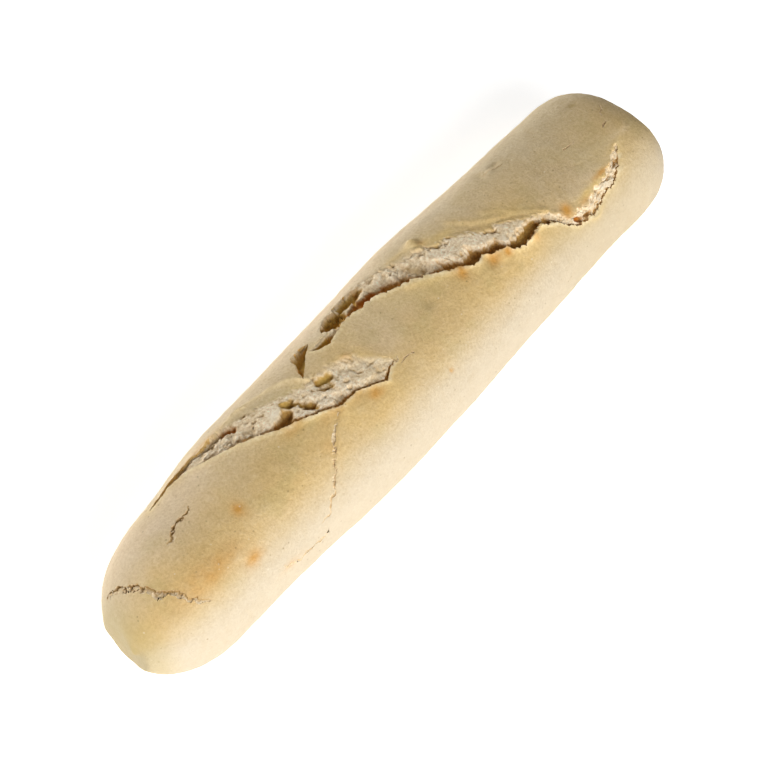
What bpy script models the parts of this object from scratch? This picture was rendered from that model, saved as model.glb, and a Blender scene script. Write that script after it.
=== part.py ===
"""A part-baked half baguette, lying on its flat base.

One solid loaf: a long rounded form, about 288 mm by 63 mm by 49 mm, with two slashes torn open along its
top, a pocket torn open between them, and a few cracks. The loaf lies along X with its base at Z = 0 and the
origin under its middle. Lengths below are in millimetres, and the objects are built in metres.

A place on the crust is (x, turn): x along the loaf, and turn in degrees round the section, 0 on top,
positive towards the front (-Y) and negative towards the back (+Y).
"""

import math

import bmesh
import bpy
import numpy as np

MM = 0.001
noise = np.random.default_rng(7)

# --- The loaf's form -------------------------------------------------------------------------------------
LENGTH = 290.0  # of the rounded form, before its near nose is pressed flat
HEIGHT = 47.0
# Read at nine even stations, from the near end (-X) to the far end (+X).
WIDTHS = (53.5, 52.8, 58.0, 60.7, 62.5, 61.9, 58.3, 55.4, 56.1)
SWAY = (-1.2, -0.9, 0.9, 0.2, 0.3, 1.0, 0.7, 0.3, -0.4)
HEIGHT_SHARE = (0.93, 0.97, 1.0, 1.02, 1.0, 1.02, 1.0, 0.97, 0.93)
WIDEST_AT = 0.42  # share of the height at which the section is widest
TOP_FULLNESS, BOTTOM_FULLNESS = 2.25, 2.7  # superellipse exponents of the section's two halves
BASE_SINK = 1.12  # the lower half's curve is this much too deep, and the base cuts it off flat
NEAR_CAP, NEAR_FULLNESS, NEAR_NOSE_SWAY = 36.0, 2.0, -3.5
FAR_CAP, FAR_FULLNESS, FAR_NOSE_SWAY = 30.0, 3.3, -6.9
# The near nose is pressed flat twice: on a plane that leans under the loaf, and then nearly square to it. Each
# row is the plane's direction, how far it lies from (0, 0, PRESS_LEVEL), and the share of the press.
PRESS_LEVEL = 20.0
PRESSES = (
    ((-0.879, 0.318, -0.354), 128.0, 0.93),
    ((-1.0, 0.15, 0.0), 140.0, 0.85),
)
CRUST_RADIUS = 29.0  # mean radius of the section, to turn lengths round the crust into degrees

RING_STEP, CAP_RINGS = 3.4, 8
TOP_TURN, TOP_POINTS, UNDER_POINTS = 96.0, 29, 8  # the upper crust has closer points than the underside

# --- The slashes -----------------------------------------------------------------------------------------
# Rows are (x, turn of the back edge, turn of the front lip, depth inside the back edge, depth at the lip).
SLASHES = {
    "near_slash": (
        (-104, -47.0, -45.0, 0.3, 0.4),
        (-94, -46.0, -41.0, 0.6, 1.6),
        (-84, -42.0, -30.0, 0.6, 2.6),
        (-74, -38.5, -17.0, 0.6, 3.4),
        (-64, -31.0, -8.5, 0.8, 4.0),
        (-54, -24.0, 1.0, 1.0, 4.8),
        (-45, -17.0, 6.5, 1.0, 5.2),
        (-36, -11.0, 13.5, 0.8, 3.8),
        (-28, -5.0, 15.5, 0.8, 2.8),
        (-20, -1.0, 19.5, 0.6, 2.2),
        (-13, 4.0, 25.0, 0.6, 2.2),
        (-6, 17.5, 20.0, 0.3, 0.4),
    ),
    "pocket": (
        (-33, -14.5, -12.0, 0.3, 0.5),
        (-29, -27.0, -18.5, 3.0, 4.2),
        (-25, -36.5, -24.5, 4.0, 6.0),
        (-21, -37.5, -30.5, 3.5, 5.0),
        (-17, -36.0, -34.0, 0.3, 0.5),
    ),
    "far_slash": (
        (-19, -27.0, -24.5, 0.5, 1.0),
        (-11, -35.0, -19.5, 3.0, 5.5),
        (-4, -42.0, -21.5, 3.5, 7.0),
        (6, -42.5, -19.5, 2.5, 7.5),
        (16, -38.5, -15.0, 1.0, 6.5),
        (26, -26.0, -5.5, 0.6, 5.2),
        (36, -18.5, 3.5, 0.6, 4.6),
        (46, -11.5, 13.5, 0.6, 4.6),
        (56, -1.5, 20.5, 0.6, 5.0),
        (66, 9.0, 29.5, 0.6, 5.0),
        (74, 19.5, 29.0, 0.6, 5.0),
        (80, 24.5, 34.5, 0.5, 2.6),
        (87, 38.5, 51.5, 0.4, 1.7),
        (97, 43.5, 57.0, 0.4, 1.5),
        (107, 39.5, 53.0, 0.4, 1.4),
        (117, 28.0, 41.0, 0.4, 1.3),
        (125, 20.0, 26.0, 0.3, 0.9),
        (131, 16.5, 18.5, 0.2, 0.3),
    ),
}
CUT_STEP = 2.0  # distance between a cutter's sections
ACROSS = (0.0, 0.22, 0.45, 0.68, 0.88)  # where the crumb's floor is set, from the back edge to the lip
FLOOR_CURVE = 0.8  # under 1, the floor drops most beside the back edge
CRUMB_ROUGHNESS = 0.45
TORN_EDGE = 1.0  # how unevenly the edges are torn, in degrees
UNDERCUT = 0.5  # the crumb runs in under the lip by this share of the depth there
UNDERCUT_FLOOR, UNDERCUT_ROOF = 0.75, 0.3  # heights of the undercut, as shares of the depth there
CLEAR_OVER = 4.0  # how far a cutter stands over the crust

# The crust rises beside a slash: the lip curls up into an ear, and the back edge is a soft fold.
LIP_RISE, LIP_RISE_WIDTH = 1.4, 6.0
FOLD_RISE, FOLD_RISE_WIDTH = 0.8, 6.0
RISE_RUN_OUT = 14.0

# --- The cracks: width, depth, then (x, turn) along each --------------------------------------------------
CRACKS = {
    "nose_crack": (1.5, 1.6, ((-136.2, -50), (-134.4, -40), (-132.2, -23.5), (-130.7, -9), (-129.0, 0),
                              (-128.4, 8.5), (-124.2, 19), (-122.4, 33.5), (-118.4, 43.5))),
    "shoulder_crack": (0.9, 1.1, ((-113.3, -8), (-110, -8.5), (-107.8, -13), (-102.3, -12.5), (-97.3, -12.5))),
    "side_crack": (0.7, 0.8, ((-38, 20), (-41.2, 23), (-44.2, 28), (-50.2, 40), (-57.4, 58), (-62.9, 71.5))),
    "foot_crack": (0.7, 0.8, ((-87.3, 75), (-82.1, 82.5), (-75.6, 84), (-64.4, 84))),
}
CRACK_STEP = 2.2
CRACK_CLEAR_OVER = 1.0


def flowing(values, at):
    """The values, set at even steps from -1 to 1, read at `at` along a smooth curve through them."""
    ends = (2 * values[0] - values[1], 2 * values[-1] - values[-2])
    padded = np.array([ends[0], *values, ends[1]])
    place = (np.clip(at, -1, 1) + 1) / 2 * (len(values) - 1)
    i = np.clip(place.astype(int), 0, len(values) - 2)
    f = place - i
    a, b, c, d = (padded[i + k] for k in range(4))
    return b + 0.5 * f * (c - a + f * (2 * a - 5 * b + 4 * c - d + f * (3 * (b - c) + d - a)))


def closing(x):
    """The share of its full size that the section keeps at x: 1 along the loaf, down to 0 at the noses."""
    near = np.clip((-x - LENGTH / 2 + NEAR_CAP) / NEAR_CAP, 0, 1)
    far = np.clip((x - LENGTH / 2 + FAR_CAP) / FAR_CAP, 0, 1)
    return (1 - near**NEAR_FULLNESS) ** (1 / NEAR_FULLNESS) * (1 - far**FAR_FULLNESS) ** (1 / FAR_FULLNESS)


def crust(x, turn):
    """Points of the smooth crust at (x, turn), with X, Y, Z on the last axis."""
    x, turn = np.broadcast_arrays(np.asarray(x, float), np.asarray(turn, float))
    keep = closing(x)
    half_width = flowing(WIDTHS, 2 * x / LENGTH) / 2 * keep
    sway = flowing(SWAY, 2 * x / LENGTH) + np.where(x < 0, NEAR_NOSE_SWAY, FAR_NOSE_SWAY) * (1 - keep)
    height = HEIGHT * flowing(HEIGHT_SHARE, 2 * x / LENGTH)
    middle = WIDEST_AT * height
    base = middle * (1 - keep)
    across, up = -np.sin(np.radians(turn)), np.cos(np.radians(turn))
    power = np.where(up >= 0, 2 / TOP_FULLNESS, 2 / BOTTOM_FULLNESS)
    y = np.sign(across) * np.abs(across) ** power * half_width + sway
    rise = np.sign(up) * np.abs(up) ** power
    z = middle + np.where(rise > 0, rise * (height - middle) * keep, rise * (middle - base) * BASE_SINK)
    points = np.stack([x, y, np.maximum(z, base)], -1)
    for direction, reach, share in PRESSES:
        normal = np.array(direction) / np.linalg.norm(direction)
        beyond = np.maximum((points - [0, 0, PRESS_LEVEL]) @ normal - reach, 0) * share
        points = points - beyond[..., None] * normal
    return points


def outward(x, turn):
    """The crust's outward direction at (x, turn)."""
    along = crust(x + 0.5, turn) - crust(x - 0.5, turn)
    around = crust(x, turn + 1.0) - crust(x, turn - 1.0)
    normal = np.cross(around, along)
    return normal / np.linalg.norm(normal, axis=-1, keepdims=True)


def below(x, turn, depth):
    """Points `depth` under the smooth crust, or over it where depth is negative."""
    return crust(x, turn) - outward(x, turn) * depth[..., None]


def column(rows, k, x):
    """Column k of a slash's rows, read at x."""
    return np.interp(x, [row[0] for row in rows], [row[k] for row in rows])


def rise_beside_slashes(x, turn):
    """How far the crust stands up at (x, turn), beside the two long slashes."""
    rise = np.zeros_like(x)
    for rows in (SLASHES["near_slash"], SLASHES["far_slash"]):
        run_out = np.clip(np.minimum(x - rows[0][0], rows[-1][0] - x) / RISE_RUN_OUT, 0, 1)
        from_lip = np.radians(turn - column(rows, 2, x)) * CRUST_RADIUS
        from_fold = np.radians(turn - column(rows, 1, x)) * CRUST_RADIUS
        rise += run_out * LIP_RISE * np.exp(-((from_lip / LIP_RISE_WIDTH) ** 2))
        rise += run_out * FOLD_RISE * np.exp(-((from_fold / FOLD_RISE_WIDTH) ** 2))
    return rise


def new_solid(name, points, faces):
    """A mesh object of points in millimetres, in triangles that face outwards."""
    shell = bmesh.new()
    corners = [shell.verts.new(point) for point in (np.asarray(points) * MM).tolist()]
    for face in faces:
        shell.faces.new([corners[i] for i in face])
    bmesh.ops.recalc_face_normals(shell, faces=shell.faces)
    bmesh.ops.triangulate(shell, faces=shell.faces)
    mesh = bpy.data.meshes.new(name)
    shell.to_mesh(mesh)
    shell.free()
    solid = bpy.data.objects.new(name, mesh)
    bpy.context.scene.collection.objects.link(solid)
    return solid


def skin(sections, around):
    """Quads that join `sections` rings of `around` points each."""
    return [
        (i * around + j, i * around + (j + 1) % around, (i + 1) * around + (j + 1) % around, (i + 1) * around + j)
        for i in range(sections - 1)
        for j in range(around)
    ]


def closed_tube(name, sections):
    """A solid through sections of equal counts of points, with a flat face at each end."""
    count, around = sections.shape[:2]
    ends = [tuple(range(around)), tuple(range((count - 1) * around, count * around))]
    return new_solid(name, sections.reshape(-1, 3), skin(count, around) + ends)


def ring_places():
    """Where the loaf's rings stand along X: even along the loaf, and closing up round the noses."""
    angle = np.linspace(0, math.pi / 2, CAP_RINGS + 1)[1:-1]
    near = NEAR_CAP - LENGTH / 2 - NEAR_CAP * np.sin(angle) ** (2 / NEAR_FULLNESS)
    far = LENGTH / 2 - FAR_CAP + FAR_CAP * np.sin(angle) ** (2 / FAR_FULLNESS)
    start, end = NEAR_CAP - LENGTH / 2, LENGTH / 2 - FAR_CAP
    straight = np.linspace(start, end, round((end - start) / RING_STEP) + 1)
    return np.concatenate([near[::-1], straight, far])


def uncut_loaf():
    """The loaf before it is slashed: rings from nose to nose, drawn together at a point on each."""
    top = np.linspace(-TOP_TURN, TOP_TURN, TOP_POINTS)
    under = np.linspace(TOP_TURN, 360 - TOP_TURN, UNDER_POINTS + 2)[1:-1]
    x, turn = np.meshgrid(ring_places(), np.concatenate([top, under]), indexing="ij")
    rings = below(x, turn, -rise_beside_slashes(x, turn))
    count, around = x.shape
    tips = crust(np.array([-0.5, 0.5]) * LENGTH, np.zeros(2))
    near_tip, far_tip = count * around, count * around + 1
    last = (count - 1) * around
    fans = [(near_tip, (j + 1) % around, j) for j in range(around)]
    fans += [(far_tip, last + j, last + (j + 1) % around) for j in range(around)]
    return new_solid("loaf", np.concatenate([rings.reshape(-1, 3), tips]), skin(count, around) + fans)


def slash_cutter(name, rows):
    """The space inside a slash: a crumb floor that falls from the back edge to under the front lip."""
    start, end = rows[0][0], rows[-1][0]
    x = np.linspace(start, end, round((end - start) / CUT_STEP) + 1)
    back, lip, back_depth, lip_depth = (column(rows, k, x) for k in (1, 2, 3, 4))
    tear = TORN_EDGE * np.clip((lip - back) / 10, 0, 1)
    back = back + tear * noise.uniform(-1, 1, x.size)
    lip = lip + tear * noise.uniform(-1, 1, x.size)
    outline = []
    for share in ACROSS:
        rough = CRUMB_ROUGHNESS * noise.uniform(-1, 1, x.size) * np.clip(lip_depth / 3, 0, 1) * (share > 0)
        depth = back_depth + (lip_depth - back_depth) * share**FLOOR_CURVE + rough
        outline.append((back + (lip - back) * share, depth))
    undercut = np.degrees(UNDERCUT * lip_depth / CRUST_RADIUS)
    outline.append((lip + undercut, lip_depth * UNDERCUT_FLOOR))
    outline.append((lip + undercut / 2, lip_depth * UNDERCUT_ROOF))
    outline.append((lip, np.zeros_like(x)))
    outline.append((lip, np.full_like(x, -CLEAR_OVER)))
    outline.append(((lip + back) / 2, np.full_like(x, -CLEAR_OVER)))
    outline.append((back, np.full_like(x, -CLEAR_OVER)))
    return closed_tube(name, np.stack([below(x, turn, depth) for turn, depth in outline], axis=1))


def crack_cutter(name, width, depth, route):
    """A V-shaped groove along a route on the crust, widest in its middle and torn unevenly."""
    corners = np.array(route, float)
    run = np.hypot(np.diff(corners[:, 0]), np.radians(np.diff(corners[:, 1])) * CRUST_RADIUS)
    reached = np.concatenate([[0], np.cumsum(run)])
    at = np.linspace(0, reached[-1], round(reached[-1] / CRACK_STEP) + 1)
    x, turn = (np.interp(at, reached, corners[:, k]) for k in (0, 1))
    middle = crust(x, turn)
    up = outward(x, turn)
    side = np.cross(np.gradient(middle, axis=0), up)
    side /= np.linalg.norm(side, axis=-1, keepdims=True)
    share = np.sin(np.pi * (0.12 + 0.76 * at / at[-1])) * noise.uniform(0.75, 1.15, at.size)
    half, deep = width / 2 * share[:, None], depth * share[:, None]
    top = middle + CRACK_CLEAR_OVER * up
    wide = half * (1 + CRACK_CLEAR_OVER / deep)
    return closed_tube(name, np.stack([middle - up * deep, top + side * wide, top - side * wide], axis=1))


def cut_out(loaf, cutter):
    """Takes the cutter's space out of the loaf, and removes the cutter."""
    cut = loaf.modifiers.new("cut_" + cutter.name, "BOOLEAN")
    cut.operation = "DIFFERENCE"
    cut.solver = "EXACT"
    cut.object = cutter
    bpy.context.view_layer.update()
    result = bpy.data.meshes.new_from_object(loaf.evaluated_get(bpy.context.evaluated_depsgraph_get()))
    loaf.modifiers.remove(cut)
    loaf.data = result
    bpy.data.objects.remove(cutter)


def crust_material():
    """Pale, part-baked crust."""
    material = bpy.data.materials.new("crust")
    material.use_nodes = True
    shader = material.node_tree.nodes["Principled BSDF"]
    shader.inputs["Base Color"].default_value = (0.66, 0.47, 0.24, 1.0)
    shader.inputs["Roughness"].default_value = 0.75
    shader.inputs["Metallic"].default_value = 0.0
    return material


def settle(loaf):
    """Moves the loaf so that its base is at Z = 0 with the origin under its middle."""
    corners = np.array([vertex.co for vertex in loaf.data.vertices])
    low, high = corners.min(axis=0), corners.max(axis=0)
    shift = np.array([(low[0] + high[0]) / 2, (low[1] + high[1]) / 2, low[2]])
    loaf.data.vertices.foreach_set("co", (corners - shift).ravel())
    loaf.data.update()


def tidy(loaf):
    """Joins doubled points left by the cuts, and leaves only triangles."""
    shell = bmesh.new()
    shell.from_mesh(loaf.data)
    bmesh.ops.remove_doubles(shell, verts=shell.verts, dist=0.01 * MM)
    bmesh.ops.triangulate(shell, faces=shell.faces)
    shell.to_mesh(loaf.data)
    shell.free()


for leftover in list(bpy.data.objects):
    bpy.data.objects.remove(leftover)

loaf = uncut_loaf()
for slash_name, slash_rows in SLASHES.items():
    cut_out(loaf, slash_cutter(slash_name, slash_rows))
for crack_name, (crack_width, crack_depth, crack_route) in CRACKS.items():
    cut_out(loaf, crack_cutter(crack_name, crack_width, crack_depth, crack_route))
tidy(loaf)
settle(loaf)
loaf.data.materials.clear()
loaf.data.materials.append(crust_material())
loaf.data.shade_smooth()
loaf.data.set_sharp_from_angle(angle=math.radians(40))
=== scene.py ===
import math
from collections import namedtuple

import bmesh
import bpy
import numpy as np
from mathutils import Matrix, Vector, noise


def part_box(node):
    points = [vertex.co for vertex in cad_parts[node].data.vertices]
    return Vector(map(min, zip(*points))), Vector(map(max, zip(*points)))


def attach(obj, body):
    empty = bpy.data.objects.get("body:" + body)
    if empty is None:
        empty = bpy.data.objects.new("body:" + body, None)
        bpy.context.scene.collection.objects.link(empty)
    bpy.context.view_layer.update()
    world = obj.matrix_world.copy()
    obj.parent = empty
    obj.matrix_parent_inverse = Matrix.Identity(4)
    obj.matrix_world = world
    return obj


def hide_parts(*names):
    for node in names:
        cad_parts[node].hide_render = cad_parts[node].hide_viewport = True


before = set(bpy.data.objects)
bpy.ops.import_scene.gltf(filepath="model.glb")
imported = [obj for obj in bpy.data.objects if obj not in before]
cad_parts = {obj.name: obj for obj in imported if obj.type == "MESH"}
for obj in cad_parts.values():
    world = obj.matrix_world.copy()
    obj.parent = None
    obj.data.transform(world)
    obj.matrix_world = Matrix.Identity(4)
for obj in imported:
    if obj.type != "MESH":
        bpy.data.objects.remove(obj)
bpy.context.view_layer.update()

# --- The dough, shaped --------------------------------------------------------------------------------
# The real loaf is one length of dough, rolled into a rod, proved and part-baked on a tray. It is a long
# rounded form on a flat base: fuller at mid-length, one nose pressed flat and slanting under, the other
# nearly square. Lengths are in millimetres, and a place on the crust is (x, turn): x along the loaf and
# turn in degrees round it, 0 on top, positive towards the front (-Y) and negative towards the back (+Y).
LENGTH = 290.0
HEIGHT = 47.0
WIDTHS = (53.5, 52.8, 58.0, 60.7, 62.5, 61.9, 58.3, 55.4, 56.1)  # at nine even stations along X
SWAY = (-1.2, -0.9, 0.9, 0.2, 0.3, 1.0, 0.7, 0.3, -0.4)
HEIGHT_SHARE = (0.93, 0.97, 1.0, 1.02, 1.0, 1.02, 1.0, 0.97, 0.93)
WIDEST_AT = 0.42
TOP_FULLNESS, BOTTOM_FULLNESS = 2.25, 2.7
BASE_SINK = 1.12
NEAR_CAP, NEAR_FULLNESS, NEAR_NOSE_SWAY = 36.0, 2.0, -3.5
FAR_CAP, FAR_FULLNESS, FAR_NOSE_SWAY = 30.0, 3.3, -6.9
PRESS_LEVEL = 20.0
PRESSES = (  # where the dough is pressed flat: direction, reach, share
    ((-0.879, 0.318, -0.354), 128.0, 0.93),
    ((-1.0, 0.15, 0.0), 140.0, 0.85),
)


def flowing(values, at):
    """The values, set at even steps from -1 to 1, read at `at` along a smooth curve through them."""
    padded = np.array([2 * values[0] - values[1], *values, 2 * values[-1] - values[-2]])
    place = (np.clip(at, -1, 1) + 1) / 2 * (len(values) - 1)
    i = np.clip(place.astype(int), 0, len(values) - 2)
    f = place - i
    a, b, c, d = (padded[i + k] for k in range(4))
    return b + 0.5 * f * (c - a + f * (2 * a - 5 * b + 4 * c - d + f * (3 * (b - c) + d - a)))


def section(x):
    """The section at x: share of full size, half width, sway, height of the widest line, full height."""
    near = np.clip((-x - LENGTH / 2 + NEAR_CAP) / NEAR_CAP, 0, 1)
    far = np.clip((x - LENGTH / 2 + FAR_CAP) / FAR_CAP, 0, 1)
    keep = (1 - near**NEAR_FULLNESS) ** (1 / NEAR_FULLNESS) * (1 - far**FAR_FULLNESS) ** (1 / FAR_FULLNESS)
    sway = flowing(SWAY, 2 * x / LENGTH) + np.where(x < 0, NEAR_NOSE_SWAY, FAR_NOSE_SWAY) * (1 - keep)
    height = HEIGHT * flowing(HEIGHT_SHARE, 2 * x / LENGTH)
    return keep, flowing(WIDTHS, 2 * x / LENGTH) / 2 * keep, sway, WIDEST_AT * height, height


def smooth_crust(x, turn):
    """Points of the smooth crust at (x, turn), with X, Y, Z on the last axis."""
    x, turn = np.broadcast_arrays(np.asarray(x, float), np.asarray(turn, float))
    keep, half_width, sway, middle, height = section(x)
    base = middle * (1 - keep)
    across, up = -np.sin(np.radians(turn)), np.cos(np.radians(turn))
    power = np.where(up >= 0, 2 / TOP_FULLNESS, 2 / BOTTOM_FULLNESS)
    rise = np.sign(up) * np.abs(up) ** power
    y = np.sign(across) * np.abs(across) ** power * half_width + sway
    z = middle + np.where(rise > 0, rise * (height - middle) * keep, rise * (middle - base) * BASE_SINK)
    points = np.stack([x, y, np.maximum(z, base)], -1)
    for direction, reach, share in PRESSES:
        normal = np.array(direction) / np.linalg.norm(direction)
        beyond = np.maximum((points - [0, 0, PRESS_LEVEL]) @ normal - reach, 0) * share
        points = points - beyond[..., None] * normal
    return points


def outward(x, turn):
    """The crust's outward direction at (x, turn)."""
    along = smooth_crust(x + 0.5, turn) - smooth_crust(x - 0.5, turn)
    around = smooth_crust(x, turn + 1.0) - smooth_crust(x, turn - 1.0)
    normal = np.cross(around, along)
    return normal / np.linalg.norm(normal, axis=-1, keepdims=True)


def under_crust(x, turn, depth):
    """Points `depth` under the smooth crust, or over it where depth is negative."""
    return smooth_crust(x, turn) - outward(x, turn) * np.asarray(depth)[..., None]


# --- The slashes, as routes on the crust --------------------------------------------------------------
# The baker slashes the proved dough twice with a blade held aslant. In the oven each slash tears open: its
# front lip lifts into a thin ear, and the crumb falls from the back edge to under that lip.
NEAR_FOLD = (  # where the stretched skin behind the near slash folds over
    (-72, -37), (-57.4, -37), (-50.4, -33), (-42.2, -29), (-36.7, -23), (-33.5, -16), (-31.5, -9.5),
)
NEAR_BACK = (
    (-104, -47), (-92, -46.5), (-84, -43.5), (-76, -39.5), (-69, -36.5), (-63.4, -36), (-57, -31),
    (-50, -24), (-43, -17), (-36, -12), (-31.5, -9.5), (-24, -7), (-15.8, -2), (-12, 4), (-9, 11),
    (-6, 17.5),
)
NEAR_LIP = (
    (-104, -45.5), (-94, -42), (-86, -34), (-79.8, -24), (-73, -17), (-64.2, -8.5), (-55.9, -0.5),
    (-47, 4.5), (-38, 11.5), (-33.8, 15.5), (-25.3, 15.5), (-19.5, 19.5), (-13.8, 25), (-9.6, 20),
    (-6, 18.5),
)
FAR_BACK = (
    (-20.5, -27), (-12.5, -27.5), (-11.4, -31.5), (-9, -37), (-5, -41), (4, -42), (12.1, -41.5),
    (17.8, -37), (25.5, -26), (31.8, -20), (40.5, -13.5), (47.5, -7), (51.2, -3.5), (57.7, 3), (64.7, 8),
    (72.1, 15.5), (80, 25), (83, 32.5), (86, 42.5), (90, 43), (96, 44), (101.5, 41.5), (107, 40),
    (112.3, 36), (118, 29), (123, 24.5),
)
FAR_LIP = (
    (-20.5, -26), (-18.5, -21.5), (-14.3, -18), (-10.8, -20), (-6.6, -21), (-2.4, -22.5), (1.4, -21),
    (4.1, -18), (7.4, -20), (12.6, -15.5), (15.8, -11.5), (19.6, -8.5), (25.3, -3.5), (31, 2), (37, 8.5),
    (40.7, 12), (43.7, 15), (46.2, 15.5), (48.5, 14), (50.7, 16.5), (53.5, 19.5), (57.7, 22), (58.9, 27),
    (61.7, 29.5), (67.2, 31), (70.2, 29), (74.9, 29), (76.9, 32.5), (80.9, 38), (83.4, 44), (86.8, 51),
    (92.6, 55.5), (97.6, 56), (103, 51), (111, 48.5), (116, 42), (119, 35.5), (121, 30), (123, 25.5),
)
POCKET_BACK = (
    (-33, -14), (-30.8, -22), (-28.5, -29), (-26.8, -36), (-23.5, -37.8), (-19.8, -37), (-18.0, -34.7),
)
POCKET_LIP = ((-33, -13), (-30.8, -16), (-26.5, -22), (-22.5, -28), (-18.0, -33.7))

# --- The crust ----------------------------------------------------------------------------------------
# A thin dry skin over the whole loaf, baked only until it tans on top. It is a little lumpy and floury, it
# lifts into an ear along each slash's front lip, and it is stretched into folds behind each slash.
MM = 0.001
MEAN_RADIUS = 29.0
MM_PER_DEGREE = math.radians(MEAN_RADIUS)  # length round the crust for one degree of turn
RING_STEP, CAP_RINGS = 0.95, 34
FINE_TURN, FINE_POINTS, SIDE_TURN, SIDE_POINTS, UNDER_POINTS = 62.0, 96, 106.0, 18, 20
LUMPS = ((0.40, 30.0, 2), (0.16, 8.0, 3), (0.085, 2.6, 4))  # height, size and detail of each layer
# Rows are x, rise of the front lip, rise of the back fold.
NEAR_RISE = (
    (-104, 0, 0), (-92, 0.6, 0.4), (-78, 1.0, 0.5), (-68, 1.2, 0.2), (-55, 1.3, 0), (-42, 1.4, 0),
    (-34, 1.3, 0.2), (-24, 0.6, 0.2), (-14, 0.8, 0.1), (-6, 0, 0),
)
FAR_RISE = (
    (-19, 0, 0), (-8, 0.8, 0.3), (10, 1.0, 0.2), (30, 1.2, 0.2), (50, 1.5, 0.2), (60, 1.7, 0.2),
    (72, 1.6, 0.3), (82, 0.3, 0.4), (95, 0.1, 0.4), (118, 0.1, 0.1), (123, 0, 0),
)
EAR_REACH, EAR_EDGE, FOLD_REACH = 4.5, 1.1, 3.2
BAND_DROP = (  # x, how far the stretched skin sinks towards the crumb
    (-72, 0), (-64, 0.4), (-56, 0.8), (-40, 1.0), (-35, 0.7), (-31.5, 0),
)
BUMPS = (  # x, turn, height, reach along, reach round
    (38, -26, 2.0, 2.2, 1.8), (36, -17, 0.7, 1.8, 1.6), (41, -21.5, -0.6, 1.6, 1.8),
    (34.5, -21.5, 0.5, 1.4, 1.4), (69.4, 31, 1.3, 1.6, 1.5), (74, 29, 0.5, 2.0, 1.5),
    (50, 22.5, -0.4, 2.6, 2.0), (54, 24, 0.7, 1.8, 1.6), (-17.5, -3.5, 1.1, 2.0, 1.5),
    (-21, 0.5, -0.9, 1.6, 1.2), (-15.5, 0, 0.8, 1.6, 1.3), (-24, -6, 0.7, 2.0, 1.4),
    (79.6, -33, -0.7, 1.4, 2.6), (83, -27, 0.8, 1.3, 1.1), (86.6, -29.5, -0.6, 2.2, 1.2),
    (81, -25.5, 0.6, 1.2, 1.0), (126.6, -19, -0.6, 1.6, 1.2), (20.1, 10.5, -0.5, 2.4, 2.2),
    (7.9, 53.5, -0.2, 0.8, 0.8), (-104, -20, -0.5, 12, 9), (-75, 20, 0.5, 16, 9), (100, 10, -0.6, 12, 10),
    (15, 40, 0.5, 20, 12), (66, 24, 0.5, 3, 2), (90, 28, 0.5, 3, 5),
)
RIDGES = (  # stretched skin: height, half width, then the route
    (0.6, 0.6, ((53.2, -17.5), (57.9, -5.5), (62.7, 0.5), (67.7, 4), (72.9, 10), (77.9, 18), (81, 24))),
    (-0.55, 1.1, ((54, -10), (58, -2), (63, 3.5), (68, 7.5), (73, 13.5))),
    (-0.5, 1.0, ((46.5, -14), (51.2, -8), (54.7, -3), (58.4, 0))),
    (0.6, 0.5, ((64.4, -4.5), (69.2, 1), (72.1, 7))),
    (0.5, 0.7, ((27, -29), (34, -26), (42, -17), (50, -12))),
    (1.2, 1.0, NEAR_FOLD),
    (0.5, 0.7, ((20.5, -5), (26, 0), (32, 5.5))),
    (0.4, 1.0, ((-23, -8), (-18, -4.5), (-14, -2))),
    (0.12, 0.9, ((-13, 0), (-10, 6), (-8, 11))),
    (-0.5, 0.7, ((90.6, 15), (90.4, 25), (91.2, 36))),
    (0.7, 0.5, ((95.4, 58.5), (98, 59.5), (101, 55.5))),
    (0.35, 0.8, ((120, 30), (125, 23.5), (131, 16.5))),
)
OVERLAPS = (  # skin that ends in a small step down to its front or far side: height, reach, then the route
    (0.45, 5.0, ((-34, 15), (-41.2, 23), (-44.2, 28), (-50.2, 40), (-57.4, 58))),
)
TORN_RIM, TORN_RIM_REACH = 0.45, 1.2  # crumbs and nicks in the skin beside a torn edge

CREAM, TAN, PALE, OLIVE = (0.71, 0.59, 0.405), (0.77, 0.55, 0.25), (0.84, 0.67, 0.47), (0.62, 0.49, 0.22)
GOLD, TOAST, FAR_END_TONE, RIM = (0.90, 0.66, 0.27), (0.70, 0.36, 0.085), (0.60, 0.48, 0.29), (0.98, 0.84, 0.56)
UMBER, FLANK = (0.56, 0.41, 0.19), (0.69, 0.585, 0.43)
GOLD_HIGHLIGHTS = (  # painted golden highlight on bumps and folds: x, turn, share, reach along, reach round
    (38.5, -23, 0.45, 3.5, 2.8), (104, 37, 0.7, 8, 1.4), (-12, 2, 0.2, 3, 5), (97, 38, 0.4, 6, 1.6),
    (47, -12, 0.3, 6, 2),
)
TAN_TURN, TAN_REACH = 20.0, 38.0  # in degrees
FLOURY = (  # pale with flour: x, turn, share, reach along, reach round
    (-90, -30, 0.9, 32, 12), (-8, -52, 0.7, 34, 10), (60, -50, 0.4, 40, 6), (-120, -50, 0.5, 14, 14),
    (102, 24, 0.6, 16, 10), (127, 20.5, 0.9, 6, 1.6), (0, 6, 0.45, 14, 8),
)
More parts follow.
